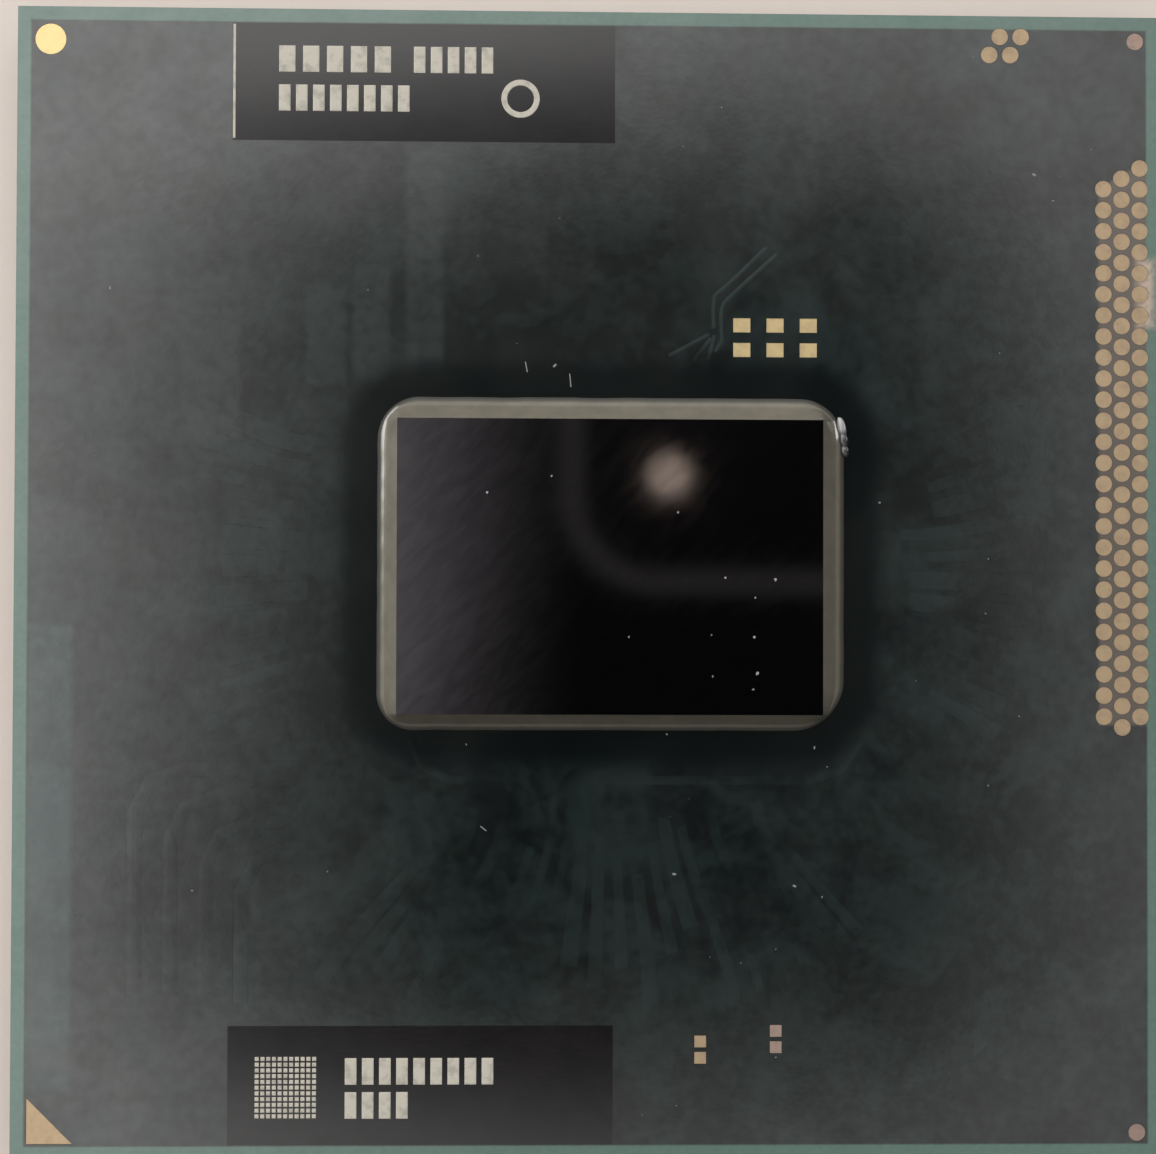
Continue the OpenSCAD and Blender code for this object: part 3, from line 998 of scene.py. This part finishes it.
# Slopes at which the ceiling passes into the walls, and the walls into the dim zone above the floor
WALL_SLOPES = (0.35, 0.8)
DIM_SLOPES = (0.9, 1.5)
DIM_SHARE = 0.15
ROOM_COLOUR = (1.0, 0.985, 0.965)
BACKDROP = (0.80, 0.77, 0.75)


def out_of_opening(sky, slope, sides):
    """How far a slope lies out of the opening: 0 inside it, 1 and more in the bright ceiling."""
    parts = []
    for start, end in sides.values():
        share = sky.math("DIVIDE", sky.minus(slope, start), end - start)
        parts.append(sky.math("MAXIMUM", share, 0.0))
    return sky.math("MAXIMUM", *parts)


def light_band(sky, slope):
    """The faint band of light that the die mirrors."""
    straight = BAND_HALF - BAND_CORNER
    past = sky.past_box(slope, (*BAND_MIDDLE, 0.0), (straight, straight, 0.0))
    off = sky.math("ABSOLUTE", sky.minus(sky.vector("LENGTH", past), BAND_CORNER))
    return sky.ramp(off, BAND_W, 0.0, 0.0, BAND_LEVEL)


def room_level(sky, slope):
    """Brightness of the ceiling and the walls, brighter to the upper left and dim above the floor."""
    sideways = sky.vector("NORMALIZE", slope)
    ceiling = sky.ramp(sky.vector("DOT_PRODUCT", sideways, (*CEILING_SIDE, 0.0)), -1.0, 1.0, *CEILING)
    wall = sky.ramp(sky.vector("DOT_PRODUCT", sideways, (*WALL_SIDE, 0.0)), WALL_START, 1.0, *WALL)
    steepness = sky.vector("LENGTH", slope)
    low = sky.ramp(steepness, *WALL_SLOPES)
    level = sky.plus(sky.times(ceiling, sky.minus(1.0, low)), sky.times(wall, low))
    return sky.times(level, sky.ramp(steepness, *DIM_SLOPES, 1.0, DIM_SHARE))


def make_world():
    """A soft room with an opening for the camera, a faint band of light, a lamp and a plain backdrop."""
    world = bpy.data.worlds.new("soft_studio")
    bpy.context.scene.world = world
    world.use_nodes = True
    sky = Nodes(world.node_tree)
    x, y, z = sky.split(sky.add("TexCoord").outputs["Generated"])
    up = sky.math("MAXIMUM", z, LEAST_UP)
    slope_x = sky.math("DIVIDE", x, up)
    slope_y = sky.math("DIVIDE", y, up)
    slope = sky.join(slope_x, slope_y)
    off = sky.join(out_of_opening(sky, slope_x, OPENING_X), out_of_opening(sky, slope_y, OPENING_Y))
    away = sky.math("MINIMUM", sky.vector("LENGTH", off), 1.0)
    opening = sky.plus(sky.math("POWER", away, OPENING_POWER), OPENING_CORE)
    soft = sky.plus(sky.times(room_level(sky, slope), opening), light_band(sky, slope))
    lamp_off = sky.vector("DISTANCE", slope, (*LAMP_SLOPE, 0.0))
    lamp = sky.ramp(lamp_off, LAMP_REACH, LAMP_FULL_SHARE * LAMP_REACH, 0.0, LAMP_LEVEL)
    room = sky.add("Background", {0: colour(ROOM_COLOUR), 1: soft})
    spot = sky.add("Background", {0: colour(LAMP_COLOUR), 1: lamp})
    lit = sky.add("AddShader", {0: room.outputs[0], 1: spot.outputs[0]})
    seen = sky.add("Background", {0: colour(BACKDROP), 1: 1.0})
    camera_ray = sky.add("LightPath").outputs["Is Camera Ray"]
    mixed = sky.add("MixShader", {0: camera_ray, 1: lit.outputs[0], 2: seen.outputs[0]})
    sky.add("OutputWorld", {0: mixed.outputs[0]})


# Two long softboxes: direction from the part, half length, half height and brightness
SOFTBOX_DISTANCE = 150
SOFTBOXES = {"left_softbox": ((-0.817, 0.481, 0.317), 69.5, 21, 7.5),
             "right_softbox": ((0.899, 0.363, 0.245), 26.5, 8, 9.0)}


def make_softboxes():
    """Lamps whose long reflections draw the bead's highlights."""
    for name, (towards, half_length, half_height, brightness) in SOFTBOXES.items():
        data = bpy.data.lights.new(name, "AREA")
        data.shape = "RECTANGLE"
        data.size = 2 * half_length * MM
        data.size_y = 2 * half_height * MM
        data.energy = brightness * math.pi * data.size * data.size_y
        lamp = bpy.data.objects.new(name, data)
        lamp.location = Vector(towards).normalized() * SOFTBOX_DISTANCE * MM
        lamp.rotation_euler = Vector(towards).to_track_quat("Z", "Y").to_euler()
        bpy.context.scene.collection.objects.link(lamp)


def make_floor():
    """A wide sheet of paper at the plane of the pin tips."""
    reach = 1500
    shape = bmesh.new()
    shape.faces.new([shape.verts.new((x * reach, y * reach, 0.0)) for x, y in CORNERS])
    floor = mesh_object("floor", shape, floor_paper())


def make_camera():
    """The camera of the photograph."""
    data = bpy.data.cameras.new("camera")
    data.sensor_width = SENSOR_W
    data.lens = SENSOR_W * FOCAL_PX / PHOTO_W
    data.clip_start = CLIP_NEAR * MM
    data.clip_end = CLIP_FAR * MM
    camera = bpy.data.objects.new("camera", data)
    back = -LOOK.normalized()
    right = UP.cross(back).normalized()
    up = back.cross(right)
    camera.matrix_world = Matrix.Translation(EYE * MM) @ Matrix((right, up, back)).transposed().to_4x4()
    bpy.context.scene.collection.objects.link(camera)
    bpy.context.scene.camera = camera


make_camera()
make_world()
make_softboxes()
make_floor()
dress_nodes()
make_underfill()
make_resin_drop()
make_trace_relief()
make_fine_lines()
make_print_marks()
make_board_dust()
bpy.context.scene.view_settings.view_transform = "Standard"
